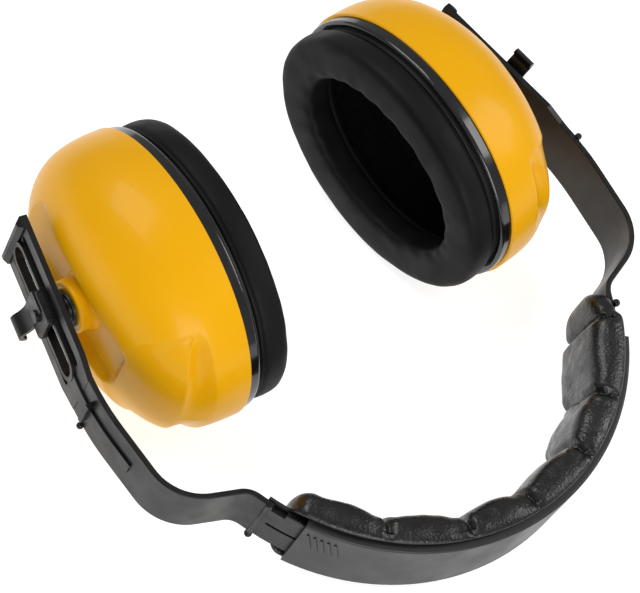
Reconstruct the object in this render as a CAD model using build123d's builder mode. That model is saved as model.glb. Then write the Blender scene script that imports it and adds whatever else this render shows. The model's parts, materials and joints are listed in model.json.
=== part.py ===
from build123d import *
from math import atan, cos, degrees, radians, sin, sqrt, tan
import os

# Earmuff hearing protector: two ear cups on sliding, pivoting carriers, held by bent arms
# that plug into the ends of a padded headband.
# It is modelled as worn: X across the head, Y towards the face, Z up to the crown, with the
# origin midway between the two cups. The finished muff is then laid on its side.

os.makedirs("parts", exist_ok=True)

# ---- headband: an arc about one centre above the ears
band_radius = 86.0          # outer face of the strap
band_centre_z = 54.0
strap_width = 31.6
strap_web = 1.6             # the strap is a channel: this is its web
strap_side_wall = 1.6
strap_edge_round = 0.9
mouth_angle = 56.0          # from the crown to the sleeve's mouth
sleeve_gap = 0.3            # round the arm's tongue
liner_thickness = 1.0
leaf_width = 24.0           # the liner's end that reaches past the mouth
leaf_angle = 66.0
grip_rib_count = 5
grip_rib_height = 0.35

# ---- headband pad
pad_thickness = 7.8
pad_width = 35.0
pad_skin = 1.0
pad_corner = 3.4
pad_left_angle = 60.0
pad_right_angle = 68.0

# ---- arms
arm_thickness = 2.0
arm_width = 24.4
blade_width = 28.0          # along the slot
blade_taper = (52.0, 61.0)   # from the tip: where it narrows to the arm's width
arm_edge_round = 0.5
tongue_end_angle = 36.0     # hidden end, inside the sleeve
leave_angle = 66.5          # where the arm leaves the headband's arc
hump_run = 5.5              # straight run from there to the hump
shoulder = (103.4, 73.5)    # corner points of the outer face, X and Z
knee = (105.9, 31.0)
hump_bend = 7.0
shoulder_bend = 20.0
knee_bend = 98.0
blade_length = 68.0         # knee to tip
blade_lean = 11.4           # degrees, inwards

slit_width = 1.4
slit_from = 46.0
slit_to = 63.5
bar_angle = 65.3            # stop bar across the outer face
bar_radius = 0.8
bar_knob_radius = 1.4
bar_overhang = 1.2
edge_notch = (60.6, 64.2)   # degrees
edge_notch_depth = 2.4
edge_nub_radius = 1.25
edge_nub_z = 30.0

slot_start = 5.0            # along the blade, from its tip
slot_length = 48.4
slot_width = 8.4
rail_width = 1.8
rail_height = 1.0
pocket_depth = 0.8
pocket_width = 3.0
tip_length = 4.4
tip_height = 2.2
tip_bevel = 1.5
strip_height = 0.8
strip_width = 6.0
strip_low_end = 17.5         # height of its lower end
cross_rib_z = 30.0           # small rib across the strip
cross_rib_length = 12.0

# ---- carriers: a thumb button outside the arm, a ball pin through the slot
pivot_along_blade = 30.2      # from the tip, at rest
slide_gap = 0.3
pin_fit = 0.1               # shaft in the slot, each side
spigot_radius = 2.2
spigot_length = 3.2
ball_radius = 5.0
ball_drop = 6.3             # ball centre below the arm's inner face
collar_radius = 5.8
collar_thickness = 1.6
button_length = 12.0
wing_length = 8.0
wing_offset = 3.0           # along the blade, from the pin
button_base = 1.9
button_half_width = 7.6
tower_half_width = 5.2
tower_height = 2.4
wing_thickness = 1.7
wing_crest = (11.6, 5.6)     # across the arm and above its outer face
wing_end = (16.4, 3.8)
button_corner = 1.5
button_bevel = 0.5

# ---- ear cups
cup_half_length = 54.0
cup_half_width = 43.4
cup_depth = 36.0
cup_fullness = 3.0          # exponent of the dome's profile
cup_wall = 2.5
cup_toe = 4.0               # degrees, openings turned towards the crown
pivot_below_middle = 2.0
pivot_depth = 36.7          # ball centre above the rim's plane
race_fit = 0.08
race_wall = 1.22
race_lip = 1.5              # past the ball's middle
seat_lip = 0.8
boss_radius = 9.5
trough_width = 27.0
trough_floor = 31.0         # above the rim's plane
trough_top_end = 26.0       # along the cup, from its middle
trough_low_end = -56.0
trough_corner = 7.0
trough_round = 2.0
grip_centre = 10.0          # the finger grip turns about this point, towards the crown
grip_half_angle = 55.0
grip_start_radius = 20.0
grip_ridge = (35.6, 24.6)   # radius and depth of the ridge
grip_foot = (42.0, 13.5)
grip_hollow = 1.4

# ---- ear cushions and what is inside the cups
ring_inset = 0.9
ring_height = 4.6
ring_round = 1.2
ring_width = 11.0
spigot_depth = 5.0
spigot_fit = 0.5
backing_thickness = 1.4
cushion_scale = 0.955
cushion_height = 11.2
cushion_round = 4.4
opening_half_length = 36.0
opening_half_width = 25.6
opening_round = 3.0
cushion_skin = 0.9
foam_front = 8.0
foam_back = 26.0


# ---------------------------------------------------------------- helpers
def on_band(radius, angle):
    """Point of the headband's plane at a radius and an angle from the crown."""
    turn = radians(angle)
    return (radius * sin(turn), band_centre_z + radius * cos(turn))


def band_sector(outer, inner, start, end, across=0.0):
    """Face between two radii of the headband's arc, from one angle to another."""
    with BuildSketch(Plane.XZ.offset(-across)) as sector:
        with BuildLine():
            CenterArc((0, band_centre_z), outer, 90 - end, end - start)
            CenterArc((0, band_centre_z), inner, 90 - end, end - start)
            Line(on_band(outer, start), on_band(inner, start))
            Line(on_band(outer, end), on_band(inner, end))
        make_face()
    return sector.sketch


def dome(plane, inset):
    """Loft ovals up the cup's depth; each oval's size follows a full, rounded profile."""
    with BuildPart() as body:
        for share in (0.0, 0.25, 0.5, 0.68, 0.82, 0.92, 0.985):
            size = (1 - share ** cup_fullness) ** (1 / cup_fullness)
            with BuildSketch(plane.offset(share * (cup_depth - inset))):
                Ellipse((cup_half_length - inset) * size, (cup_half_width - inset) * size)
        loft()
    return body.part


def trough(plane, grow):
    """Long hollow in the cup's outer face that the arm nests in; grow widens and deepens it."""
    length = trough_top_end - trough_low_end + 2 * grow
    with BuildPart() as body:
        with BuildSketch(plane.offset(trough_floor - grow)):
            with Locations(((trough_top_end + trough_low_end) / 2, 0)):
                RectangleRounded(length, trough_width + 2 * grow, trough_corner)
        extrude(amount=cup_depth)
        fillet(body.faces().sort_by(Axis(plane.origin, plane.z_dir))[0].edges(), trough_round)
    return body.part


def finger_grip(plane, grow):
    """Sector turned off the crown-end shoulder: a shallow hollow, a ridge and a bevel."""
    middle = plane.origin + plane.x_dir * grip_centre
    half = radians(grip_half_angle)
    first = plane.x_dir * cos(half) - plane.y_dir * sin(half)
    start = (grip_start_radius - grow, cup_depth + 0.5 - grow)
    ridge = (grip_ridge[0] - grow, grip_ridge[1] - grow)
    foot = (grip_foot[0] - grow, grip_foot[1] - grow)
    low = foot[1] - 3.0
    high = cup_depth * 1.3
    with BuildPart() as body:
        with BuildSketch(Plane(middle, x_dir=first, z_dir=first.cross(plane.z_dir))):
            with BuildLine():
                SagittaArc(start, ridge, -grip_hollow)
                Polyline(ridge, foot, (foot[0] + 1.6, low), (cup_half_length, low),
                         (cup_half_length, high), (start[0], high), start)
            make_face()
        revolve(axis=Axis(middle, plane.z_dir), revolution_arc=2 * grip_half_angle)
    return body.part


def oval_ring(plane, height, long, wide, hole_long, hole_wide):
    """Flat oval ring standing on a plane; a negative height goes towards the head."""
    with BuildPart() as body:
        with BuildSketch(plane):
            Ellipse(long, wide)
            Ellipse(hole_long, hole_wide, mode=Mode.SUBTRACT)
        extrude(amount=height)
    return body.part


pieces = {}


def finish(piece, name):
    """Label a finished piece and keep it for the laid-down muff."""
    piece.part.label = name
    pieces[name] = piece.part


# ---------------------------------------------------------------- headband
strap_inner = band_radius - strap_web
tongue_outer = strap_inner - sleeve_gap
tongue_inner = tongue_outer - arm_thickness
liner_outer = tongue_inner - sleeve_gap
liner_inner = liner_outer - liner_thickness
half_strap = strap_width / 2

with BuildPart() as headband_strap:
    extrude(band_sector(band_radius, liner_outer, -mouth_angle, mouth_angle), amount=half_strap, both=True)
    channel = band_sector(strap_inner, liner_outer - 1, -mouth_angle - 1, mouth_angle + 1)
    extrude(channel, amount=half_strap - strap_side_wall, both=True, mode=Mode.SUBTRACT)
    long_edges = headband_strap.edges().filter_by(GeomType.CIRCLE)
    fillet([edge for edge in long_edges if edge.radius > band_radius - 0.1], strap_edge_round)
    for side in (-1, 1):
        for rib in range(grip_rib_count):
            angle = side * (mouth_angle - 2.5 - 1.6 * rib)
            spot = on_band(band_radius, angle)
            outward = (sin(radians(angle)), 0, cos(radians(angle)))
            with BuildSketch(Plane(origin=(spot[0], 0, spot[1]), x_dir=(0, 1, 0), z_dir=outward).offset(-0.3)):
                with Locations((-side * strap_width / 5, 0)):
                    SlotOverall(strap_width / 3.2, 0.9, rotation=20)
            extrude(amount=grip_rib_height + 0.3)
finish(headband_strap, "headband_strap")

with BuildPart() as headband_liner:
    extrude(band_sector(liner_outer, liner_inner, -mouth_angle, mouth_angle), amount=half_strap, both=True)
    extrude(band_sector(liner_outer, liner_inner, -leaf_angle, leaf_angle), amount=leaf_width / 2, both=True)
finish(headband_liner, "headband_liner")


def pad_body(inset):
    """Rounded bar turned along the inside of the headband."""
    turn = radians(-pad_left_angle)
    radial = Vector(sin(turn), 0, cos(turn))
    centre = Vector(0, 0, band_centre_z)
    middle = centre + radial * (liner_inner - pad_thickness / 2)
    with BuildPart() as body:
        with BuildSketch(Plane(middle, x_dir=(0, 1, 0), z_dir=Vector(0, 1, 0).cross(radial))):
            RectangleRounded(pad_width - 2 * inset, pad_thickness - 2 * inset, pad_corner - inset)
        revolve(axis=Axis(centre, (0, 1, 0)), revolution_arc=pad_left_angle + pad_right_angle)
    return body.part


with BuildPart() as pad_foam:
    add(pad_body(pad_skin))
finish(pad_foam, "headband_pad_foam")

with BuildPart() as pad_cover:
    add(pad_body(0))
    add(pad_foam.part, mode=Mode.SUBTRACT)
finish(pad_cover, "headband_pad_cover")

# ---------------------------------------------------------------- arm, wearer's +X side
lean = radians(blade_lean)
tip = (knee[0] - blade_length * sin(lean), knee[1] - blade_length * cos(lean))
blade = Plane(origin=(tip[0], 0, tip[1]), x_dir=(sin(lean), 0, cos(lean)), z_dir=(cos(lean), 0, -sin(lean)))
leave = on_band(tongue_outer, leave_angle)
leave_turn = radians(leave_angle)
hump = (leave[0] + hump_run * cos(leave_turn), leave[1] - hump_run * sin(leave_turn))
slot_middle = slot_start + slot_length / 2
half_arm = arm_width / 2
bend_start = shoulder[1] - shoulder_bend


def strip(height, width, low_end):
    """Raised strip on the arm's outer face, from a height on the blade up round the knee."""
    start = (knee[0] - (knee[1] - low_end) * tan(lean), low_end)
    rise = (bend_start - knee[1]) / (shoulder[1] - knee[1])
    end = (knee[0] + (shoulder[0] - knee[0]) * rise, bend_start)
    with BuildPart() as body:
        with BuildSketch(Plane.XZ):
            with BuildLine():
                FilletPolyline(start, knee, end, radius=knee_bend)
                offset(amount=height, side=Side.RIGHT)
            make_face()
        extrude(amount=width / 2, both=True)
    return body.part


with BuildPart() as tip_block:
    with BuildSketch(blade.offset(-arm_thickness / 2)):
        with Locations((tip_length / 2, 0)):
            Rectangle(tip_length, blade_width)
    extrude(amount=arm_thickness / 2 + tip_height)
    chamfer(tip_block.faces().sort_by(Axis(blade.origin, blade.z_dir))[-1].edges(), tip_bevel)

with BuildPart() as right_arm:
    with BuildSketch(Plane.XZ):
        with BuildLine():
            tongue = CenterArc(
                (0, band_centre_z), tongue_outer, 90 - leave_angle, leave_angle - tongue_end_angle
            )
            FilletPolyline(
                tongue @ 0, hump, shoulder, knee, tip, radius=[hump_bend, shoulder_bend, knee_bend]
            )
            offset(amount=arm_thickness, side=Side.LEFT)
        make_face()
    extrude(amount=half_arm, both=True)
    fillet(right_arm.faces().filter_by(Axis.Y).edges(), arm_edge_round)
    add(strip(strip_height, strip_width, strip_low_end))
    with Locations((knee[0] + strip_height / 2, 0, cross_rib_z)):
        Box(3 * strip_height, cross_rib_length, 2 * strip_height)
    with BuildSketch(blade.offset(-arm_thickness)):
        with BuildLine():
            Polyline(
                (0, -blade_width / 2),
                (blade_taper[0], -blade_width / 2),
                (blade_taper[1], -half_arm + arm_edge_round),
                (blade_taper[1], half_arm - arm_edge_round),
                (blade_taper[0], blade_width / 2),
                (0, blade_width / 2),
                close=True,
            )
        make_face()
    extrude(amount=arm_thickness)
    add(tip_block.part)
    with BuildSketch(blade):
        with Locations((slot_middle, 0)):
            SlotOverall(slot_length + 2 * rail_width, slot_width + 2 * rail_width)
    extrude(amount=rail_height)
    with BuildSketch(blade):
        with Locations((slot_middle, 0)):
            SlotOverall(slot_length, slot_width)
    extrude(amount=2 * arm_thickness, both=True, mode=Mode.SUBTRACT)
    pocket_offset = slot_width / 2 + rail_width + pocket_width / 2 + 0.3
    with BuildSketch(blade.offset(-pocket_depth)):
        with Locations((slot_middle, -pocket_offset), (slot_middle, pocket_offset)):
            SlotOverall(slot_length, pocket_width)
    extrude(amount=pocket_depth + 0.2, mode=Mode.SUBTRACT)
    with Locations((knee[0] - 0.4, half_arm, edge_nub_z)):
        Sphere(edge_nub_radius)
    bar_centre = on_band(tongue_outer, bar_angle)
    with Locations((bar_centre[0], bar_overhang / 2, bar_centre[1])):
        Cylinder(bar_radius, arm_width + bar_overhang, rotation=(90, 0, 0))
    with Locations((bar_centre[0], half_arm + bar_overhang, bar_centre[1])):
        Sphere(bar_knob_radius)
    slit = band_sector(tongue_outer + 1, tongue_inner - 1, slit_from, slit_to)
    extrude(slit, amount=slit_width / 2, both=True, mode=Mode.SUBTRACT)
    notch = band_sector(tongue_outer + 1, tongue_inner - 1, *edge_notch, across=edge_notch_depth - half_arm)
    extrude(notch, amount=edge_notch_depth + 1, mode=Mode.SUBTRACT)

# ---------------------------------------------------------------- carrier, wearer's +X side
foot = blade.origin + blade.x_dir * pivot_along_blade
pin_plane = Plane(origin=foot, x_dir=blade.x_dir, z_dir=blade.z_dir)
across = Plane(origin=foot, x_dir=(0, 1, 0), z_dir=blade.x_dir * -1)
ball_centre = foot - blade.z_dir * (arm_thickness + ball_drop)
button_foot = rail_height + slide_gap
shaft_radius = slot_width / 2 - pin_fit
collar_low = -(arm_thickness + slide_gap + collar_thickness)

with BuildPart() as right_ball_pin:
    with BuildSketch(pin_plane.offset(collar_low)):
        Circle(collar_radius)
    extrude(amount=collar_thickness)
    with BuildSketch(pin_plane.offset(-(arm_thickness + ball_drop))):
        Circle(shaft_radius)
    extrude(amount=arm_thickness + ball_drop + button_foot)
    with BuildSketch(pin_plane.offset(button_foot)):
        Circle(spigot_radius)
    extrude(amount=spigot_length)
    with Locations(ball_centre):
        Sphere(ball_radius)

button_side = button_foot + button_base
wing_root = button_foot + tower_height - wing_thickness / 2
wing_plane = across.offset(-wing_offset)
with BuildPart() as right_thumb_button:
    with BuildSketch(pin_plane.offset(button_foot)):
        RectangleRounded(button_length, 2 * button_half_width, button_corner)
    extrude(amount=button_base)
    chamfer(right_thumb_button.faces().sort_by(Axis(foot, blade.z_dir))[-1].edges(), button_bevel)
    with BuildSketch(wing_plane):
        with BuildLine() as wing:
            root = Line((-tower_half_width, wing_root), (tower_half_width, wing_root))
            climb = TangentArc(root @ 1, wing_crest, tangent=root % 1)
            TangentArc(climb @ 1, wing_end, tangent=climb % 1)
        trace(wing.line, line_width=wing_thickness)
        with Locations((0, (wing_root + button_foot) / 2)):
            Rectangle(2 * tower_half_width, wing_root - button_foot)
    extrude(amount=wing_length / 2, both=True)
    with BuildSketch(pin_plane.offset(button_foot)):
        Circle(spigot_radius)
    extrude(amount=spigot_length, mode=Mode.SUBTRACT)

# ---------------------------------------------------------------- ear cup, wearer's +X side
toe = radians(cup_toe)
outward = Vector(cos(toe), 0, -sin(toe))
crownward = Vector(sin(toe), 0, cos(toe))
rim_centre = ball_centre - outward * pivot_depth + crownward * pivot_below_middle
cup_plane = Plane(origin=rim_centre, x_dir=crownward, z_dir=outward)
race_inner = ball_radius + race_fit
race_outer = race_inner + race_wall
seat_radius = race_outer + race_fit
ball_plane = Plane(origin=ball_centre, x_dir=crownward, z_dir=outward)

with BuildPart() as right_ball_race:
    with Locations(ball_centre):
        Sphere(race_outer)
        Sphere(race_inner, mode=Mode.SUBTRACT)
    split(bisect_by=ball_plane.offset(race_lip), keep=Keep.BOTTOM)

boss_low = pivot_depth - seat_radius - cup_wall
with BuildPart() as cup_cavity:
    add(dome(cup_plane, cup_wall))
    add(trough(cup_plane, cup_wall), mode=Mode.SUBTRACT)
    add(finger_grip(cup_plane, cup_wall), mode=Mode.SUBTRACT)
    with BuildSketch(cup_plane.offset(boss_low)):
        with Locations((-pivot_below_middle, 0)):
            Circle(boss_radius)
    extrude(amount=cup_depth, mode=Mode.SUBTRACT)

with BuildPart() as right_cup_shell:
    add(dome(cup_plane, 0))
    add(trough(cup_plane, 0), mode=Mode.SUBTRACT)
    add(finger_grip(cup_plane, 0), mode=Mode.SUBTRACT)
    with BuildSketch(cup_plane.offset(trough_floor - cup_wall)):
        with Locations((-pivot_below_middle, 0)):
            Circle(boss_radius)
    extrude(amount=pivot_depth + seat_lip - trough_floor + cup_wall, taper=4)
    add(cup_cavity.part, mode=Mode.SUBTRACT)
    with Locations(ball_centre):
        Sphere(seat_radius, mode=Mode.SUBTRACT)

with BuildPart() as right_sound_foam:
    add(cup_cavity.part)
    split(bisect_by=cup_plane.offset(foam_front), keep=Keep.TOP)
    split(bisect_by=cup_plane.offset(foam_back), keep=Keep.BOTTOM)

ring_long = cup_half_length - ring_inset
ring_wide = cup_half_width - ring_inset
inner_long = cup_half_length - ring_width
inner_wide = cup_half_width - ring_width
with BuildPart() as right_seal_ring:
    add(oval_ring(cup_plane, -ring_height, ring_long, ring_wide, inner_long, inner_wide))
    fillet(right_seal_ring.faces().sort_by(Axis(rim_centre, outward))[0].edges(), ring_round)
    spigot_long = cup_half_length - cup_wall - spigot_fit
    spigot_wide = cup_half_width - cup_wall - spigot_fit
    add(oval_ring(cup_plane, spigot_depth, spigot_long, spigot_wide, spigot_long - 2, spigot_wide - 2))

cushion_long = cup_half_length * cushion_scale
cushion_wide = cup_half_width * cushion_scale
backing_plane = cup_plane.offset(-ring_height)
with BuildPart() as right_cushion_backing:
    add(oval_ring(backing_plane, -backing_thickness, cushion_long - 1.5, cushion_wide - 1.5,
                  opening_half_length + 2, opening_half_width + 2))

cushion_plane = backing_plane.offset(-backing_thickness)


def cushion_body(inset):
    """Oval cushion with a rounded shoulder outside and round its opening."""
    with BuildPart() as body:
        add(oval_ring(cushion_plane, inset - cushion_height, cushion_long - inset, cushion_wide - inset,
                      opening_half_length + inset, opening_half_width + inset))
        front = body.faces().sort_by(Axis(rim_centre, outward))[0]
        outer_edge = front.edges().sort_by(SortBy.LENGTH)[-1]
        inner_edge = front.edges().sort_by(SortBy.LENGTH)[0]
        fillet(outer_edge, cushion_round - inset)
        fillet(inner_edge, opening_round - inset)
    return body.part


with BuildPart() as right_cushion_foam:
    add(cushion_body(cushion_skin))

with BuildPart() as right_cushion_cover:
    add(cushion_body(0))
    add(right_cushion_foam.part, mode=Mode.SUBTRACT)

# ---------------------------------------------------------------- both sides
with BuildPart() as swapped_thumb_button:
    add(right_thumb_button.part.rotate(Axis(foot, blade.z_dir), 180))
turned_over = {"arm": right_arm, "ball_pin": right_ball_pin}
mirrored = {
    "ball_race": right_ball_race,
    "cup_shell": right_cup_shell,
    "seal_ring": right_seal_ring,
    "cushion_backing": right_cushion_backing,
    "cushion_cover": right_cushion_cover,
    "cushion_foam": right_cushion_foam,
    "sound_foam": right_sound_foam,
}
for name, right_piece in turned_over.items():
    finish(right_piece, "right_" + name)
    with BuildPart() as left_piece:
        add(right_piece.part.rotate(Axis.Z, 180))
    finish(left_piece, "left_" + name)
finish(right_thumb_button, "right_thumb_button")
with BuildPart() as left_thumb_button:
    mirror(swapped_thumb_button.part, about=Plane.YZ)
finish(left_thumb_button, "left_thumb_button")
for name, right_piece in mirrored.items():
    finish(right_piece, "right_" + name)
    with BuildPart() as left_piece:
        mirror(right_piece.part, about=Plane.YZ)
    finish(left_piece, "left_" + name)

# ---------------------------------------------------------------- laid on its side
# The cups' edges and the headband's edge at the crown touch the ground: the slope between them is
# where the oval's tangent meets the strap's corner.
crown_reach = band_centre_z + band_radius - rim_centre.Z
square = crown_reach ** 2 - cup_half_length ** 2
linear = crown_reach * strap_width
slope = (-linear + sqrt(linear ** 2 - 4 * square * (half_strap ** 2 - cup_half_width ** 2))) / (2 * square)
tilt = degrees(atan(slope))
lying = Location((0, 0, 0), (90 + tilt, 0, 0))
placed = Compound(children=[part.moved(lying) for part in pieces.values()]).bounding_box()
on_ground = Location((-placed.center().X, -placed.center().Y, -placed.min.Z)) * lying

for name, part in pieces.items():
    laid = part.moved(on_ground)
    laid.label = name
    export_step(laid, f"parts/{name}.step")
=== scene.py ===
"""Earmuff hearing protector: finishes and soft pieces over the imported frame.

Laid out as an add-on: each operator makes one group of pieces, and main() calls them in order.
Lengths are in metres. Every surface is worked out as a whole numpy array.
"""

import json
import math

import bpy
import numpy as np
from bpy.props import FloatProperty, FloatVectorProperty, PointerProperty
from mathutils import Matrix


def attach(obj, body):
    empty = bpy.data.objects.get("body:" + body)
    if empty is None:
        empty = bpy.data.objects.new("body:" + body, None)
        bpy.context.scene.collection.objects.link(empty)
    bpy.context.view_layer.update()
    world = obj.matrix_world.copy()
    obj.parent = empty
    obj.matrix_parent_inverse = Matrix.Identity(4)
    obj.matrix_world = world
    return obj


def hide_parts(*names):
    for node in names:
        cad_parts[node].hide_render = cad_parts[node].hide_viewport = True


bl_info = {
    "name": "Earmuff finish",
    "version": (1, 0, 0),
    "blender": (4, 5, 0),
    "location": "View3D > Sidebar > Earmuff",
    "description": "Shells, cushions, headband pad, finishes and studio for an earmuff",
    "category": "Object",
}

MM = 0.001
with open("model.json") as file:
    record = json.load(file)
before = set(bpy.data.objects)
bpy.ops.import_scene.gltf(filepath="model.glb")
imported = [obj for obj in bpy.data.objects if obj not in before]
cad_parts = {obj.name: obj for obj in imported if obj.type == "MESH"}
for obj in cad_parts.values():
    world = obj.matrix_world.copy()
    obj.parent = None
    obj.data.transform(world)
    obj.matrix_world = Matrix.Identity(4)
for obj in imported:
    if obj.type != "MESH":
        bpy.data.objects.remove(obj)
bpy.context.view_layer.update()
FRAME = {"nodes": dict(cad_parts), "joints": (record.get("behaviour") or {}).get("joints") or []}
SIDES = ("left", "right")
RIPPLE_WAVES = 7


# ------------------------------------------------------------------ where things are
def joint(name):
    """The frame's joint of that name."""
    return next(j for j in FRAME["joints"] if j["name"] == name)


def unit(vector):
    """The vector at length one."""
    vector = np.asarray(vector, float)
    return vector / np.linalg.norm(vector)


def cup_axes(side, sizes):
    """Rim centre, crownward, across and outward directions of one cup, from its two pivots."""
    swivel = joint(side + "_cup_swivel")
    crownward = unit(swivel["axis"])
    across = unit(joint(side + "_cup_tilt")["axis"])
    outward = np.cross(across, crownward) * (1 if side == "right" else -1)
    rim = np.asarray(swivel["pos_m"], float) - outward * sizes.pivot_depth + crownward * sizes.pivot_offset
    return rim, crownward, across, outward


def band_axes():
    """Centre of the headband's arc, its crownward and its across direction."""
    insertion = joint("left_arm_insertion")
    across = unit(insertion["axis"])
    crownward = unit(np.cross((1.0, 0.0, 0.0), across))
    if crownward[1] > 0:
        crownward = -crownward
    return np.asarray(insertion["pos_m"], float), crownward, across


def placed(axes, along, across, out):
    """Points at those distances along a cup's crownward, across and outward directions."""
    rim, crown_dir, across_dir, out_dir = axes
    return rim + along[..., None] * crown_dir + across[..., None] * across_dir + out[..., None] * out_dir


# ------------------------------------------------------------------ surface helpers
def smooth_step(low, high, value):
    """0 below low, 1 above high, with level ends between."""
    t = np.clip((value - low) / (high - low), 0.0, 1.0)
    return t * t * (3 - 2 * t)


def ripple(points, scale, seed, octaves=3):
    """Smooth pseudo-random height: sines of the position along fixed random directions, added up.

    scale is the longest wave's length. Each further octave halves it and is 1.6 times fainter."""
    rng = np.random.default_rng(seed)
    total = np.zeros(points.shape[:-1])
    for octave in range(octaves):
        waves = rng.normal(size=(RIPPLE_WAVES, 3))
        waves *= (2 * math.pi / (scale / 2 ** octave)) / np.linalg.norm(waves, axis=1)[:, None]
        phase = rng.uniform(0, 2 * math.pi, RIPPLE_WAVES)
        total += np.sin(points @ waves.T + phase).sum(axis=-1) / RIPPLE_WAVES / 1.6 ** octave
    return total


def skin(name, rings, ends):
    """Mesh over rings of points. ends is "loop" to join the last ring to the first, "cap" to close
    each end with a fan to its middle. Faces are turned outward by the sign of the volume."""
    count, around = rings.shape[:2]
    verts = rings.reshape(-1, 3)
    i = np.arange(count if ends == "loop" else count - 1)[:, None]
    j = np.arange(around)[None, :]
    here, there = i * around, ((i + 1) % count) * around
    beside = (j + 1) % around
    quads = np.stack((here + j, here + beside, there + beside, there + j), axis=-1).reshape(-1, 4)
    tris = np.zeros((0, 3), int)
    if ends == "cap":
        verts = np.vstack((verts, rings[0].mean(axis=0), rings[-1].mean(axis=0)))
        ring = np.arange(around)
        low = np.stack((ring, np.full(around, len(verts) - 2), (ring + 1) % around), axis=-1)
        top = (count - 1) * around
        high = np.stack((top + ring, top + (ring + 1) % around, np.full(around, len(verts) - 1)), axis=-1)
        tris = np.vstack((low, high))
    corner = verts[quads]
    volume = np.einsum("ij,ij->i", corner[:, 0], np.cross(corner[:, 1], corner[:, 2])).sum()
    volume += np.einsum("ij,ij->i", corner[:, 0], np.cross(corner[:, 2], corner[:, 3])).sum()
    if volume < 0:
        quads, tris = quads[:, ::-1], tris[:, ::-1]
    mesh = bpy.data.meshes.new(name)
    mesh.from_pydata(verts.tolist(), [], quads.tolist() + tris.tolist())
    mesh.update()
    mesh.shade_smooth()
    piece = bpy.data.objects.new(name, mesh)
    bpy.context.scene.collection.objects.link(piece)
    return piece


def finish(piece, body, material, slot, *nodes):
    """Give a piece its material and its body, and hide the CAD nodes it stands for; slot is not used."""
    piece.data.materials.append(material)
    if nodes:
        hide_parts(*nodes)
    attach(piece, body)


# ------------------------------------------------------------------ materials
class Finish:
    """A node material on Object coordinates, built up one effect at a time."""

    def __init__(self, name, colour, roughness, **sockets):
        self.material = bpy.data.materials.new(name)
        self.material.use_nodes = True
        self.tree = self.material.node_tree
        self.shader = self.tree.nodes["Principled BSDF"]
        self.coords = self.tree.nodes.new("ShaderNodeTexCoord").outputs["Object"]
        self.colour = tuple(colour) + (1.0,)
        self.shader.inputs["Base Color"].default_value = self.colour
        self.shader.inputs["Roughness"].default_value = roughness
        self.material.diffuse_color = self.colour
        self.roughness = roughness
        self.normal = None
        for socket, value in sockets.items():
            self.shader.inputs[socket.replace("_", " ")].default_value = value

    def noise(self, scale, detail=3.0, stretch=(1, 1, 1), roughness=0.5, distortion=0.0):
        """A noise pattern, stretched along the axes by a mapping."""
        mapping = self.tree.nodes.new("ShaderNodeMapping")
        mapping.inputs["Scale"].default_value = stretch
        self.tree.links.new(self.coords, mapping.inputs["Vector"])
        node = self.tree.nodes.new("ShaderNodeTexNoise")
        node.inputs["Scale"].default_value = scale
        node.inputs["Detail"].default_value = detail
        node.inputs["Roughness"].default_value = roughness
        node.inputs["Distortion"].default_value = distortion
        self.tree.links.new(mapping.outputs["Vector"], node.inputs["Vector"])
        return node.outputs["Fac"]

    def cells(self, scale):
        """Distance to the nearest point of a random cell pattern."""
        node = self.tree.nodes.new("ShaderNodeTexVoronoi")
        node.inputs["Scale"].default_value = scale
        self.tree.links.new(self.coords, node.inputs["Vector"])
        return node.outputs["Distance"]

    def ramp(self, value, low, high, out_low=0.0, out_high=1.0):
        """Map a value's range low..high to out_low..out_high."""
        node = self.tree.nodes.new("ShaderNodeMapRange")
        node.inputs["From Min"].default_value = low
        node.inputs["From Max"].default_value = high
        node.inputs["To Min"].default_value = out_low
        node.inputs["To Max"].default_value = out_high
        self.tree.links.new(value, node.inputs["Value"])
        return node.outputs["Result"]

    def mottle(self, scale, dark, light, detail=3.0):
        """Vary the colour between a darker and a lighter tone of itself."""
        mix = self.tree.nodes.new("ShaderNodeMix")
        mix.data_type = "RGBA"
        mix.inputs["A"].default_value = tuple(c * dark for c in self.colour[:3]) + (1.0,)
        mix.inputs["B"].default_value = tuple(min(1.0, c * light) for c in self.colour[:3]) + (1.0,)
        self.tree.links.new(self.ramp(self.noise(scale, detail), 0.3, 0.7), mix.inputs["Factor"])
        self.tree.links.new(mix.outputs["Result"], self.shader.inputs["Base Color"])
        self.last_colour = mix.outputs["Result"]
        return self

    def scuffs(self, scale, tone, amount, stretch):
        """Faint worn streaks of another tone where a stretched noise peaks."""
        mix = self.tree.nodes.new("ShaderNodeMix")
        mix.data_type = "RGBA"
        mix.inputs["B"].default_value = tuple(tone) + (1.0,)
        streak = self.ramp(self.noise(scale, 6.0, stretch, 0.7), 0.62, 0.74, 0.0, amount)
        self.tree.links.new(streak, mix.inputs["Factor"])
        self.tree.links.new(self.last_colour, mix.inputs["A"])
        self.tree.links.new(mix.outputs["Result"], self.shader.inputs["Base Color"])
        self.last_colour = mix.outputs["Result"]
        return self

    def gloss(self, scale, spread):
        """Vary the roughness about its value by the spread."""
        low, high = self.roughness - spread, self.roughness + spread
        value = self.ramp(self.noise(scale, 4.0), 0.3, 0.7, low, high)
        self.tree.links.new(value, self.shader.inputs["Roughness"])
        return self

    def bump(self, height, depth, strength=1.0):
        """Raise the surface by a pattern, on top of the bumps before it."""
        node = self.tree.nodes.new("ShaderNodeBump")
        node.inputs["Strength"].default_value = strength
        node.inputs["Distance"].default_value = depth
        self.tree.links.new(height, node.inputs["Height"])
        if self.normal is not None:
            self.tree.links.new(self.normal, node.inputs["Normal"])
        self.normal = node.outputs["Normal"]
        self.tree.links.new(self.normal, self.shader.inputs["Normal"])
        return self


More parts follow.
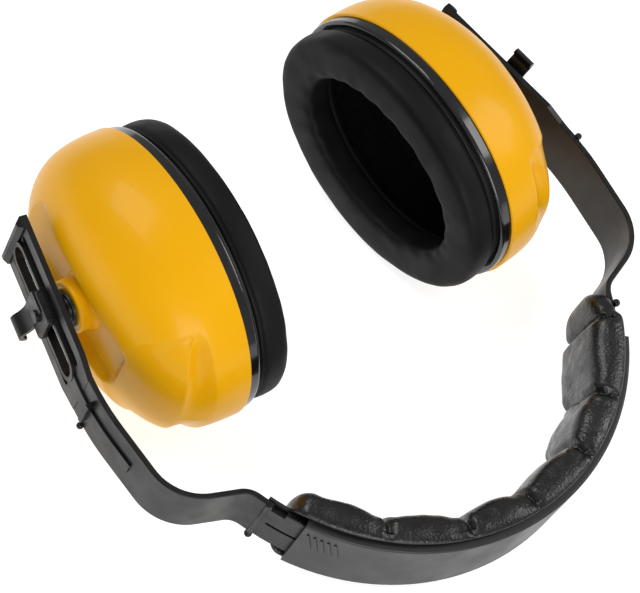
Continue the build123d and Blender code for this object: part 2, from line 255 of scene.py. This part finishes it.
def shell_finish(colours):
    """Glossy yellow moulding: slow tone drift, a faint flow ripple and a clear surface."""
    f = Finish("shell yellow", colours.shell, 0.34,
               Coat_Weight=0.1, Coat_Roughness=0.1, Specular_IOR_Level=0.14)
    f.mottle(16.0, 0.95, 1.04)
    f.scuffs(220.0, (0.9, 0.55, 0.03), 0.10, (1.0, 0.25, 1.0))
    f.gloss(60.0, 0.05)
    f.bump(f.noise(55.0, 2.0), 0.00012, 0.35)
    f.bump(f.noise(1900.0, 2.0), 0.00001, 0.25)
    return f.material


def arm_finish(colours):
    """Satin black moulding with a fine spark grain and greyed wear streaks."""
    f = Finish("arm black", colours.arm, 0.38, Specular_IOR_Level=0.3)
    f.mottle(90.0, 0.75, 1.35)
    f.scuffs(260.0, (0.05, 0.05, 0.052), 0.4, (1.0, 0.12, 1.0))
    f.gloss(140.0, 0.07)
    f.bump(f.noise(900.0, 4.0), 0.00003, 0.5)
    f.bump(f.noise(40.0, 2.0), 0.00015, 0.3)
    return f.material


def button_finish(colours):
    """Black moulding of the carriers, a little glossier than the arms, with its gloss varying from place to
    place.
    """
    f = Finish("button black", colours.arm, 0.34, Specular_IOR_Level=0.32)
    f.mottle(140.0, 0.7, 1.4)
    f.gloss(300.0, 0.08)
    f.bump(f.noise(1300.0, 3.0), 0.00002, 0.5)
    return f.material


def strap_finish(colours):
    """Dark grey satin strap: matt moulded grain with long faint rubs along it."""
    f = Finish("strap grey", colours.strap, 0.42, Specular_IOR_Level=0.4)
    f.mottle(70.0, 0.85, 1.18)
    f.scuffs(180.0, (0.09, 0.09, 0.092), 0.3, (0.2, 1.0, 1.0))
    f.gloss(90.0, 0.06)
    f.bump(f.noise(1600.0, 3.0), 0.000022, 0.6)
    f.bump(f.noise(30.0, 2.0), 0.0002, 0.3)
    return f.material


def liner_finish(colours):
    """Black spring liner under the pad, matt with drawn lines."""
    f = Finish("liner black", colours.arm, 0.5)
    f.mottle(60.0, 0.8, 1.3)
    f.bump(f.noise(500.0, 4.0, (0.15, 1.0, 1.0)), 0.00004, 0.5)
    return f.material


def ring_finish(colours):
    """Polished black sealing ring with faint handling marks."""
    f = Finish("ring gloss black", colours.ring, 0.14, Coat_Weight=0.3, Coat_Roughness=0.05)
    f.mottle(120.0, 0.7, 1.5)
    f.gloss(220.0, 0.05)
    f.bump(f.noise(80.0, 2.0), 0.00006, 0.35)
    return f.material


def socket_finish(colours):
    """Plain black of the ball race and the cushion's backing plate."""
    f = Finish("socket black", colours.ring, 0.45)
    f.mottle(150.0, 0.8, 1.5)
    f.bump(f.noise(1100.0, 3.0), 0.00002, 0.5)
    return f.material


def cushion_finish(colours):
    """Thin smooth vinyl over foam: a low sheen, very fine leather cells and slow undulation."""
    f = Finish("cushion vinyl", colours.vinyl, 0.55, Specular_IOR_Level=0.14)
    f.mottle(60.0, 0.8, 1.3)
    f.gloss(120.0, 0.07)
    f.bump(f.cells(1500.0), 0.00004, 0.35)
    f.bump(f.noise(260.0, 4.0), 0.00008, 0.35)
    return f.material


def pad_finish(colours):
    """Grained vinyl of the headband pad: leather cells that sparkle, pulled wrinkles between them."""
    f = Finish("pad vinyl", colours.vinyl, 0.33, Specular_IOR_Level=0.48)
    f.mottle(80.0, 0.7, 1.5)
    f.gloss(300.0, 0.1)
    f.bump(f.cells(1000.0), 0.00017, 0.6)
    f.bump(f.noise(420.0, 5.0, distortion=1.2), 0.00012, 0.4)
    return f.material


def foam_finish(colours):
    """Open-cell black foam: deep pores and no shine."""
    f = Finish("foam black", colours.foam, 0.95, Specular_IOR_Level=0.1)
    f.mottle(500.0, 0.5, 1.6)
    f.bump(f.cells(900.0), 0.0006, 0.9)
    return f.material


def floor_finish(colours):
    """Pale matt studio floor with a barely visible tone drift."""
    f = Finish("studio floor", colours.floor, 0.75, Specular_IOR_Level=0.2)
    f.mottle(3.0, 0.985, 1.01)
    f.shader.inputs["Emission Color"].default_value = (1.0, 1.0, 1.0, 1.0)
    f.shader.inputs["Emission Strength"].default_value = 0.8
    return f.material


# ------------------------------------------------------------------ cups
POLE_ANGLE = 0.4999 * math.pi  # just short of a right angle, so that the pole has no two points alike
RIM_CROWDING = 1.55            # power that draws the rings together near the rim
TROUGH_WALL = (0.7 * MM, -2.6 * MM)  # where the trough's soft wall starts and ends, past its outline


def oval_dome(theta, phi, length, width, depth):
    """Full rounded dome over an oval: s cubed plus h cubed is one, for the oval's share s and height h."""
    share = np.cos(theta) ** (2 / 3)
    return length * share * np.cos(phi), width * share * np.sin(phi), depth * np.sin(theta) ** (2 / 3)


def gripped(along, across, out, sizes, length, width, depth):
    """Press the finger grip into the dome, along the dome's own normal.

    The crease and the ridge are parabolas in the way along the cup, meeting at the grip's two tips.
    Between them the hollow's depth is a lopsided arch, steeper at the crease. Below the ridge the
    scoop reaches down to a nearly level foot. It is deeper to the sides than in the middle, and
    steeper at the ridge than at the foot. t and w run from 0 to 1 across the two of them."""
    reach = np.abs(across) / sizes.grip_half_width
    open_share = np.clip(1 - reach ** 2, 0.0, 1.0)
    crease = sizes.grip_tip - sizes.grip_crease * open_share
    ridge = sizes.grip_tip + sizes.grip_ridge * open_share
    t = np.clip((along - crease) / np.maximum(ridge - crease, 1e-5), 0.0, 1.0)
    hollow = sizes.grip_hollow * open_share ** 0.6 * 3.8 * t * (1 - t) * (1.25 - 0.5 * t)
    top = sizes.grip_tip_height + sizes.grip_rise * open_share ** 0.36
    foot = sizes.grip_tip_height - 0.6 * MM * open_share
    w = np.clip((out - foot) / np.maximum(top - foot, 1e-5), 0.0, 1.0)
    fade = smooth_step(0.6, 0.75, along / length)
    scoop = sizes.grip_scoop * open_share ** 0.5 * (0.05 + 1.3 * reach) * 4 * w * (1 - w) * (0.5 + w) * fade
    inward = np.where(out > top, hollow, scoop) * (along > 0)
    share = np.hypot(along / length, across / width)
    slope = np.stack(np.broadcast_arrays(
        share * along / length ** 2, share * across / width ** 2, (out / depth) ** 2 / depth))
    slope = slope / np.maximum(np.linalg.norm(slope, axis=0), 1e-9)
    return along - slope[0] * inward, across - slope[1] * inward, out - slope[2] * inward


def troughed(along, across, out, sizes, grow):
    """Lower the dome into the arm's trough, a rounded rectangle with a soft wall down to its floor;
    grow is the wall's thickness."""
    low, high = sizes.trough_low - grow, sizes.trough_high + grow
    corner = sizes.trough_corner
    qa = np.abs(along - (low + high) / 2) - (high - low) / 2 + corner
    qb = np.abs(across) - sizes.trough_half_width - grow + corner
    edge = np.hypot(np.maximum(qa, 0), np.maximum(qb, 0)) + np.minimum(np.maximum(qa, qb), 0) - corner
    inside = smooth_step(*TROUGH_WALL, edge)
    return along, across, out - np.maximum(out - (sizes.trough_floor - grow), 0) * inside


def hollowed_dome(theta, phi, sizes, grow):
    """The dome with its grip and trough, grow inside the outer face."""
    oval = sizes.cup_length - grow, sizes.cup_width - grow, sizes.cup_depth - grow
    return troughed(*gripped(*oval_dome(theta, phi, *oval), sizes, *oval), sizes, grow)


def shell_piece(side, sizes):
    """One shell: rings from the inner pole out to the rim, across it and up the outside to the pole."""
    axes = cup_axes(side, sizes)
    phi = np.linspace(0, 2 * math.pi, 420, endpoint=False)[None, :]
    theta = POLE_ANGLE * np.linspace(0.0, 1.0, 170)[:, None] ** RIM_CROWDING
    coarse = POLE_ANGLE * np.linspace(1.0, 0.0, 50)[:, None] ** RIM_CROWDING
    outer = hollowed_dome(theta, phi, sizes, 0.0)
    inner = hollowed_dome(coarse, phi, sizes, sizes.cup_wall)
    along, across, out = (np.vstack(pair) for pair in zip(inner, outer))
    return skin(side + "_shell_skin", placed(axes, along, across, out), "cap")


def boss_piece(side, sizes):
    """Turned socket boss round the ball: a profile of radius and height carried round its axis.

    The profile spreads from the trough's floor into a straight wall, rounds over a quarter circle at
    the top and then follows the sphere of the seat down to its pole."""
    axes = cup_axes(side, sizes)
    seat, wall, lip = sizes.seat_radius, sizes.boss_radius, 0.8 * MM
    top, foot = sizes.pivot_depth + lip, sizes.trough_floor - 1.5 * MM
    corner = np.linspace(0, math.pi / 2, 9)
    down = np.linspace(math.asin(lip / seat), -math.pi / 2 + 0.05, 22)
    radius = np.concatenate((
        [wall + 1.6 * MM, wall + 1.6 * MM, wall + 0.75 * MM, wall + 0.25 * MM],
        [wall - 0.1 * MM] * 5,
        wall - 1.1 * MM + 1.0 * MM * np.cos(corner),
        seat * np.cos(down),
    ))
    height = np.concatenate((
        [foot - 1.0 * MM, foot + 1.4 * MM, foot + 1.9 * MM, foot + 2.8 * MM],
        np.linspace(foot + 3.6 * MM, top - 1.4 * MM, 5),
        top - 1.0 * MM + 1.0 * MM * np.sin(corner),
        sizes.pivot_depth + seat * np.sin(down),
    ))
    phi = np.linspace(0, 2 * math.pi, 96, endpoint=False)[None, :]
    along = radius[:, None] * np.cos(phi) - sizes.pivot_offset
    across = radius[:, None] * np.sin(phi)
    return skin(side + "_socket_boss", placed(axes, along, across, height[:, None] + 0 * phi), "cap")


class EARMUFF_OT_shells(bpy.types.Operator):
    """Make both cup shells with their troughs, finger grips and socket bosses"""

    bl_idname = "earmuff.shells"
    bl_label = "Cup shells"

    def execute(self, context):
        sizes, colours = context.scene.earmuff_sizes, context.scene.earmuff_colours
        material = shell_finish(colours)
        for side in SIDES:
            finish(shell_piece(side, sizes), side + "_cup", material, "shell", side + "_cup_shell")
            finish(boss_piece(side, sizes), side + "_cup", material, "shell")
        return {"FINISHED"}


# ------------------------------------------------------------------ cushions and foam
CUSHION_SQUARENESS = 0.33  # power of the section's superellipse across; lower is squarer
CUSHION_CROWN = 0.35 * MM  # rise of the face's middle
CUSHION_PULL = 0.22 * MM   # height of the small gathers round the opening
CUSHION_SWELL = 0.6 * MM   # swell of the outer side
CUSHION_SEAM = 0.5 * MM    # depth of the seam near the outer foot
CUSHION_SEEDS = {"left": 5, "right": 9}


def cushion_piece(side, sizes):
    """One ear cushion: a squared superellipse for a section, carried round the oval.

    The section's share of the way from the opening's oval to the outline's oval gives the width. The
    face is crowned, gathers of a wavering sine surround the opening, the outer side swells with a seam
    near its foot, and slow ripples move the whole skin in and out."""
    axes = cup_axes(side, sizes)
    turn = np.linspace(0, 2 * math.pi, 320, endpoint=False)[:, None]
    lean = np.linspace(0, 2 * math.pi, 72, endpoint=False)[None, :]
    across_share = np.sign(np.cos(lean)) * np.abs(np.cos(lean)) ** CUSHION_SQUARENESS
    height_share = np.sign(np.sin(lean)) * np.abs(np.sin(lean)) ** (CUSHION_SQUARENESS + 0.12)
    share = 0.5 + 0.5 * across_share
    depth = 0.5 + 0.5 * height_share
    crown = CUSHION_CROWN * np.sin(math.pi * share) * smooth_step(0.5, 1.0, depth)
    inner_face = smooth_step(0.35, 0.0, share) * smooth_step(0.4, 0.9, depth)
    pull = CUSHION_PULL * np.sin(turn * 23 + 1.7 * np.sin(3 * turn)) * inner_face
    face = sizes.cushion_front - depth * sizes.cushion_height - crown - pull
    swell = CUSHION_SWELL * np.sin(math.pi * depth) * smooth_step(0.6, 1.0, share)
    seam = CUSHION_SEAM * np.exp(-((depth - 0.12) / 0.05) ** 2) * smooth_step(0.8, 1.0, share)
    length = sizes.opening_length + share * (sizes.cushion_length - sizes.opening_length) + swell
    width = sizes.opening_width + share * (sizes.cushion_width - sizes.opening_width) + swell
    along = (length - seam) * np.cos(turn)
    across = (width - seam) * np.sin(turn)
    points = np.stack((along, across, face + 0 * turn), axis=-1)
    slow = ripple(points, 30 * MM, CUSHION_SEEDS[side]) * 0.16 * MM
    moved = placed(axes, along + slow * np.cos(turn), across + slow * np.sin(turn), face - slow)
    return skin(side + "_ear_cushion", moved, "loop")


def sound_foam_piece(side, sizes):
    """Foam lining of the cup: rings over an oval slab whose front is dished and climbs the cup's wall.

    The front's height rises towards the rim by a smooth step over the outer half, with small lumps."""
    axes = cup_axes(side, sizes)
    turn = np.linspace(0, 2 * math.pi, 200, endpoint=False)[None, :]
    front_rings, back_rings, middle = 60, 16, 0.02
    share = np.concatenate((
        np.linspace(middle, 1.0, front_rings), np.linspace(1.0, middle, back_rings)))[:, None]
    front = np.concatenate((np.ones(front_rings), np.zeros(back_rings)))[:, None]
    climb = smooth_step(0.55, 1.0, share) * (sizes.foam_front - sizes.foam_rim)
    level = np.where(front > 0.5, sizes.foam_front - climb, sizes.foam_back)
    taper = np.where(front > 0.5, 1.0, sizes.foam_taper)
    along = sizes.foam_length * share * taper * np.cos(turn)
    across = sizes.foam_width * share * taper * np.sin(turn)
    out = level + 0 * turn
    lumps = ripple(np.stack((along, across, out), axis=-1), 14 * MM, 3) * 0.35 * MM * front
    return skin(side + "_sound_foam_block", placed(axes, along, across, out + lumps), "cap")


class EARMUFF_OT_cushions(bpy.types.Operator):
    """Make both ear cushions and the foam inside the cups"""

    bl_idname = "earmuff.cushions"
    bl_label = "Ear cushions"

    def execute(self, context):
        sizes, colours = context.scene.earmuff_sizes, context.scene.earmuff_colours
        vinyl, foam = cushion_finish(colours), foam_finish(colours)
        for side in SIDES:
            cushion = cushion_piece(side, sizes)
            finish(cushion, side + "_cup", vinyl, "cushion_vinyl",
                   side + "_cushion_cover", side + "_cushion_foam")
            block = sound_foam_piece(side, sizes)
            finish(block, side + "_cup", foam, "foam", side + "_sound_foam")
        return {"FINISHED"}


# ------------------------------------------------------------------ headband pad
# Each pucker's degrees from the crown, its strength and which way it slants.
PUCKERS = ((-40.5, 0.75, 1), (-19, 1.0, 1), (-1.5, 0.95, 1), (23.5, 1.15, -1), (41, 1.05, -1))
# Half of the pad's section in millimetres: across from the middle, and inward from the liner's face.
PAD_SECTION = ((0, 0), (15.0, 0), (16.2, -0.3), (16.4, -3.4), (17.2, -4.3), (18.3, -3.6), (18.9, -1.0),
               (18.7, 3.0), (17.5, 6.2), (14.6, 7.7), (8, 8.2), (0, 8.3))
PAD_HALF_WIDTH = 18.9 * MM
PUCKER_SLANT = 3.6 * MM      # how far a pucker's ends lie along the pad from its middle
PUCKER_WIDTH = 1.25 * MM
PUCKER_DEPTH = 3.0 * MM      # how deep a pucker of strength one goes into the face
FOLD_ANGLE = 61.5            # degrees from the crown of the fold before the slimmer tail
PAD_RIPPLE = 0.32 * MM
PAD_CRIMP = 0.22 * MM        # height of the fine wrinkles gathered at a pucker
PAD_MIDDLE = 2.0 * MM        # height about which the ends shrink
GROUND_GAP = 0.25 * MM


def rounded_loop(half, count, rounds):
    """Closed section from half an outline: mirrored, spaced evenly along its length, then each point
    averaged with its neighbours a few times to round the corners."""
    half = np.asarray(half, float) * MM
    loop = np.vstack((half, half[-2:0:-1] * (-1, 1), half[:1]))
    step = np.concatenate(([0.0], np.cumsum(np.hypot(*np.diff(loop, axis=0).T))))
    even = np.linspace(0, step[-1], count, endpoint=False)
    points = np.stack((np.interp(even, step, loop[:, 0]), np.interp(even, step, loop[:, 1])), axis=-1)
    for _ in range(rounds):
        points = 0.25 * np.roll(points, 1, axis=0) + 0.5 * points + 0.25 * np.roll(points, -1, axis=0)
    return points[:, 0][None, :], points[:, 1][None, :]


def pad_piece(sizes):
    """The headband pad: a section with lips over the strap's edges, carried along the arc.

    At each pucker a narrow slanted groove pinches the inner face and the edges, with a shallower dip
    and fine wrinkles beside it, and between puckers the face swells. The ends shrink by a quarter
    circle, and past the fold the tail is slimmer. Nothing goes below the ground."""
    centre, crown_dir, across_dir = band_axes()
    side_dir = np.array((1.0, 0.0, 0.0))
    low, high = math.radians(-sizes.pad_left), math.radians(sizes.pad_right)
    count = 560
    arc = np.linspace(low, high, count)[:, None]
    across, inward = rounded_loop(PAD_SECTION, 132, 9)
    mean = sizes.pad_outer - 3 * MM
    run = arc * mean
    share = across / PAD_HALF_WIDTH
    face = smooth_step(2.5 * MM, 7.5 * MM, inward)
    edge = smooth_step(0.8, 1.0, np.abs(share)) * smooth_step(-5 * MM, 1.0 * MM, inward)
    pinch, gather = np.zeros((count, across.shape[1])), np.zeros((count, across.shape[1]))
    deep = 0.62 + 0.38 * smooth_step(-0.2, 0.9, share)
    for angle, strength, slant in PUCKERS:
        at = math.radians(angle) * mean + slant * PUCKER_SLANT * share + 0.9 * MM * np.sin(4 * share + angle)
        gap = run - at
        pinch += strength * deep * np.exp(-np.abs(gap / PUCKER_WIDTH) ** 1.6)
        pinch += 0.30 * strength * np.exp(-((gap + 3.6 * MM) / (3.2 * MM)) ** 2)
        gather += strength * np.exp(-((gap - 0.6 * MM) / (6.0 * MM)) ** 2)
    fold_run = run - math.radians(FOLD_ANGLE) * mean + 1.0 * MM * share
    pinch += 1.0 * np.exp(-np.abs(fold_run / (1.2 * MM)) ** 1.6)
    tail = smooth_step(math.radians(FOLD_ANGLE - 1.0), math.radians(FOLD_ANGLE + 1.5), arc)
    end = np.clip(np.minimum((arc - low) / (6.5 * MM), (high - arc) / (11.0 * MM)) * mean, 0.0, 1.0)
    cap = np.sqrt(np.clip(1 - (1 - end) ** 2, 0.0, 1.0))
    swell = 0.7 * MM * np.cos((arc - math.radians(-28)) / math.radians(20.0) * 2 * math.pi) * face
    flat = np.stack(np.broadcast_arrays(run, across, inward), axis=-1)
    slow = ripple(flat, 26 * MM, 21) * PAD_RIPPLE
    crimp = ripple(flat * (1.0, 0.35, 0.35), 3.4 * MM, 8, 2) * PAD_CRIMP * gather
    skin_move = (slow + crimp) * np.maximum(face, edge)
    sink = PUCKER_DEPTH * face + 1.2 * MM * edge * np.sign(inward)
    inner = inward + swell + skin_move - pinch * sink
    wide = np.abs(across) - pinch * 2.0 * MM * edge + skin_move * edge
    inner = PAD_MIDDLE + (inner - PAD_MIDDLE) * (0.12 + 0.88 * cap) * (1 - 0.28 * tail)
    wide = wide * (0.30 + 0.70 * cap) * (1 - 0.12 * tail)
    on_liner = (inward < 0.3 * MM) & (np.abs(across) < 15.9 * MM)
    inner = np.where(on_liner, np.maximum(inner, 0.0), inner)
    radius = sizes.pad_outer - inner
    outward = np.sin(arc)[..., None] * side_dir + np.cos(arc)[..., None] * crown_dir
    points = centre + radius[..., None] * outward + (wide * np.sign(across))[..., None] * across_dir
    points[..., 2] = np.maximum(points[..., 2], GROUND_GAP)
    return skin("headband_pad", points, "cap")


class EARMUFF_OT_pad(bpy.types.Operator):
    """Make the puckered pad inside the headband"""

    bl_idname = "earmuff.pad"
    bl_label = "Headband pad"

    def execute(self, context):
        sizes, colours = context.scene.earmuff_sizes, context.scene.earmuff_colours
        pad = pad_piece(sizes)
        finish(pad, "headband", pad_finish(colours), "pad_vinyl", "headband_pad_cover", "headband_pad_foam")
        return {"FINISHED"}


# ------------------------------------------------------------------ finishes of the moulded nodes
class EARMUFF_OT_mouldings(bpy.types.Operator):
    """Give the strap, liner, arms, buttons, pins, races, rings and backings their finishes"""

    bl_idname = "earmuff.mouldings"
    bl_label = "Moulded parts"

    def execute(self, context):
        colours = context.scene.earmuff_colours
        finishes = {
            "headband_strap": strap_finish(colours),
            "headband_liner": liner_finish(colours),
            "arm": arm_finish(colours),
            "thumb_button": button_finish(colours),
            "seal_ring": ring_finish(colours),
            "ball_race": socket_finish(colours),
        }
        finishes["ball_pin"] = finishes["thumb_button"]
        finishes["cushion_backing"] = finishes["ball_race"]
        for name, node in FRAME["nodes"].items():
            kind = name if name in finishes else name.split("_", 1)[1]
            if kind in finishes:
                if not node.material_slots:
                    node.data.materials.append(finishes[kind])
                for slot in node.material_slots:
                    slot.material = finishes[kind]
        return {"FINISHED"}


# ------------------------------------------------------------------ studio
class EARMUFF_OT_studio(bpy.types.Operator):
    """Lay the floor and set the soft lights, the sky and the camera"""

    bl_idname = "earmuff.studio"
    bl_label = "Studio"

    def execute(self, context):
        scene = context.scene
        studio, colours = scene.earmuff_studio, scene.earmuff_colours
        scene.view_settings.view_transform = "Standard"
        cells = 8
        grid = np.linspace(-4.0, 4.0, cells + 1)
        x, y = np.meshgrid(grid, grid, indexing="ij")
        verts = np.stack((x, y, np.full_like(x, -0.0002)), axis=-1).reshape(-1, 3)
        i = (np.arange(cells)[:, None] * (cells + 1) + np.arange(cells)[None, :]).reshape(-1)
        faces = np.stack((i, i + cells + 1, i + cells + 2, i + 1), axis=-1)
        mesh = bpy.data.meshes.new("studio_floor")
        mesh.from_pydata(verts.tolist(), [], faces.tolist())
        floor = bpy.data.objects.new("studio_floor", mesh)
        floor.data.materials.append(floor_finish(colours))
        scene.collection.objects.link(floor)

        world = bpy.data.worlds.new("studio sky")
        world.use_nodes = True
        sky = world.node_tree.nodes["Background"]
        sky.inputs["Color"].default_value = (1.0, 1.0, 1.0, 1.0)
        sky.inputs["Strength"].default_value = studio.sky
        scene.world = world
        target = np.array((0.0, 0.0, 0.03))
        for name, place, size, power in (
            ("key", (-0.15, 0.55, 1.1), 0.7, studio.key),
            ("fill", (-0.45, -1.0, 0.5), 0.7, studio.fill),
            ("rim", (0.9, -0.5, 0.9), 0.6, studio.rim),
        ):
            lamp = bpy.data.lights.new(name, "AREA")
            lamp.shape = "SQUARE"
            lamp.size = size
            lamp.energy = power
            thing = bpy.data.objects.new(name, lamp)
            scene.collection.objects.link(thing)
            aim(thing, np.array(place), target - np.array(place), np.array((0.0, 0.0, 1.0)))

        lens = bpy.data.cameras.new("camera")
        lens.sensor_width = 36.0
        lens.lens = studio.lens
        lens.clip_start = 0.05
        view = bpy.data.objects.new("camera", lens)
        scene.collection.objects.link(view)
        aim(view, np.array(studio.eye), np.array(studio.look), np.array(studio.up))
        scene.camera = view
        return {"FINISHED"}


def aim(thing, place, look, up):
    """Put a lamp or camera at a place, looking along look, with up as near upward as it can be."""
    back = -unit(look)
    right = unit(np.cross(up, back))
    over = np.cross(back, right)
    turn = np.stack((right, over, back), axis=-1)
    matrix = np.eye(4)
    matrix[:3, :3] = turn
    matrix[:3, 3] = place
    thing.matrix_world = Matrix(matrix.tolist())


# ------------------------------------------------------------------ settings
def length_prop(name, default_mm, text):
    """A length property given in millimetres and kept in metres."""
    return FloatProperty(name=name, description=text, default=default_mm * MM, unit="LENGTH")


def tone(name, value, text):
    """A colour property."""
    return FloatVectorProperty(
        name=name, description=text, default=value, size=3, subtype="COLOR", min=0, max=1)


def power_prop(name, watts, text):
    """A lamp's power property."""
    return FloatProperty(name=name, description=text, default=watts, min=0, unit="POWER")


class EarmuffSizes(bpy.types.PropertyGroup):
    """Sizes of the shells, cushions and pad"""

    cup_length: length_prop("Cup half length", 54.0, "Half length of the cup's oval")
    cup_width: length_prop("Cup half width", 43.4, "Half width of the cup's oval")
    cup_depth: length_prop("Cup depth", 36.0, "Depth of the shell above its rim")
    cup_wall: length_prop("Cup wall", 2.5, "Thickness of the shell")
    pivot_depth: length_prop("Pivot depth", 36.7, "Ball centre above the rim's plane")
    pivot_offset: length_prop("Pivot offset", 2.0, "Ball centre below the cup's middle")
    trough_half_width: length_prop("Trough half width", 13.5, "Half width of the hollow for the arm")
    trough_floor: length_prop("Trough floor", 31.0, "Height of the hollow's floor")
    trough_low: length_prop("Trough low end", -56.0, "Lower end of the hollow along the cup")
    trough_high: length_prop("Trough top end", 26.0, "Upper end of the hollow along the cup")
    trough_corner: length_prop("Trough corner", 7.0, "Corner radius of the hollow")
    grip_half_width: length_prop("Grip half width", 33.0, "Half width of the finger grip across the cup")
    grip_tip: length_prop("Grip tips", 34.4, "Way along the cup of the grip's tips")
    grip_crease: length_prop("Grip crease", 14.4, "How far the crease bows back from the tips")
    grip_ridge: length_prop("Grip ridge", 13.7, "How far the ridge bows forward from the tips")
    grip_tip_height: length_prop("Grip tip height", 13.4, "Height of the grip's tips above the rim")
    grip_rise: length_prop("Grip rise", 9.8, "Height of the ridge above the tips")
    grip_hollow: length_prop("Grip hollow", 1.6, "Depth of the hollow between crease and ridge")
    grip_scoop: length_prop("Grip scoop", 3.6, "Depth of the scoop below the ridge")
    boss_radius: length_prop("Boss radius", 9.5, "Radius of the socket boss")
    seat_radius: length_prop("Seat radius", 6.38, "Radius of the socket's seat")
    cushion_front: length_prop("Cushion back plane", -6.0, "Height of the cushion's back above the rim")
    cushion_height: length_prop("Cushion height", 11.2, "Thickness of the cushion")
    cushion_length: length_prop("Cushion half length", 51.4, "Half length of the cushion")
    cushion_width: length_prop("Cushion half width", 41.3, "Half width of the cushion")
    opening_length: length_prop("Opening half length", 36.0, "Half length of the ear opening")
    opening_width: length_prop("Opening half width", 25.6, "Half width of the ear opening")
    foam_front: length_prop("Foam front", 8.0, "Front of the sound foam above the rim")
    foam_rim: length_prop("Foam rim", 0.6, "Height of the foam's edge above the rim")
    foam_back: length_prop("Foam back", 20.0, "Back of the sound foam above the rim")
    foam_length: length_prop("Foam half length", 48.4, "Half length of the sound foam")
    foam_width: length_prop("Foam half width", 37.8, "Half width of the sound foam")
    foam_taper: FloatProperty(
        name="Foam taper", description="Back of the foam as a share of its front", default=0.86)
    pad_left: FloatProperty(name="Pad left end", description="Angle from the crown", default=61.5)
    pad_right: FloatProperty(name="Pad right end", description="Angle from the crown", default=70.0)
    pad_outer: length_prop("Pad outer radius", 80.2, "Radius of the pad's back")


class EarmuffColours(bpy.types.PropertyGroup):
    """Colours of the finishes"""

    shell: tone("Shell", (0.80, 0.385, 0.0005), "Yellow of the cups")
    arm: tone("Arm", (0.004, 0.004, 0.0042), "Black of the arms and carriers")
    strap: tone("Strap", (0.013, 0.013, 0.0134), "Grey of the headband")
    ring: tone("Ring", (0.005, 0.005, 0.0055), "Black of the sealing rings")
    vinyl: tone("Vinyl", (0.0045, 0.0045, 0.0047), "Black of the cushions and the pad")
    foam: tone("Foam", (0.0022, 0.0022, 0.0022), "Black of the foam")
    floor: tone("Floor", (0.5, 0.5, 0.5), "Floor of the studio")


class EarmuffStudio(bpy.types.PropertyGroup):
    """Lights and camera"""

    sky: FloatProperty(name="Sky", description="Strength of the even light", default=0.38, min=0)
    key: power_prop("Key", 6.0, "Power of the key light")
    fill: power_prop("Fill", 7.0, "Power of the fill light")
    rim: power_prop("Rim", 5.0, "Power of the rim light")
    lens: FloatProperty(name="Lens", description="Focal length in millimetres", default=160.97)
    eye: FloatVectorProperty(
        name="Eye", description="Camera's place", default=(-0.4602, -0.3597, 0.8219), subtype="TRANSLATION")
    look: FloatVectorProperty(
        name="Look", description="Camera's direction", default=(0.4600, 0.3789, -0.8031))
    up: FloatVectorProperty(
        name="Up", description="Camera's upward direction", default=(0.4240, 0.7006, 0.5740))


class EARMUFF_PT_panel(bpy.types.Panel):
    """Lists the pieces, their sizes and their colours"""

    bl_label = "Earmuff"
    bl_idname = "EARMUFF_PT_panel"
    bl_space_type = "VIEW_3D"
    bl_region_type = "UI"
    bl_category = "Earmuff"

    def draw(self, context):
        scene = context.scene
        for operator in OPERATORS:
            self.layout.operator(operator.bl_idname)
        for group in (scene.earmuff_sizes, scene.earmuff_colours, scene.earmuff_studio):
            box = self.layout.box()
            for name in group.__annotations__:
                box.prop(group, name)


OPERATORS = (
    EARMUFF_OT_mouldings, EARMUFF_OT_shells, EARMUFF_OT_cushions, EARMUFF_OT_pad, EARMUFF_OT_studio)
GROUPS = {"earmuff_sizes": EarmuffSizes, "earmuff_colours": EarmuffColours, "earmuff_studio": EarmuffStudio}


def register():
    """Register the settings, operators and panel."""
    for name, group in GROUPS.items():
        bpy.utils.register_class(group)
        setattr(bpy.types.Scene, name, PointerProperty(type=group))
    for operator in OPERATORS:
        bpy.utils.register_class(operator)
    bpy.utils.register_class(EARMUFF_PT_panel)


def unregister():
    """Remove the panel, operators and settings."""
    bpy.utils.unregister_class(EARMUFF_PT_panel)
    for operator in reversed(OPERATORS):
        bpy.utils.unregister_class(operator)
    for name, group in reversed(GROUPS.items()):
        delattr(bpy.types.Scene, name)
        bpy.utils.unregister_class(group)


def main():
    """Make every piece."""
    register()
    bpy.ops.earmuff.mouldings()
    bpy.ops.earmuff.shells()
    bpy.ops.earmuff.cushions()
    bpy.ops.earmuff.pad()
    bpy.ops.earmuff.studio()


if __name__ == "__main__":
    main()
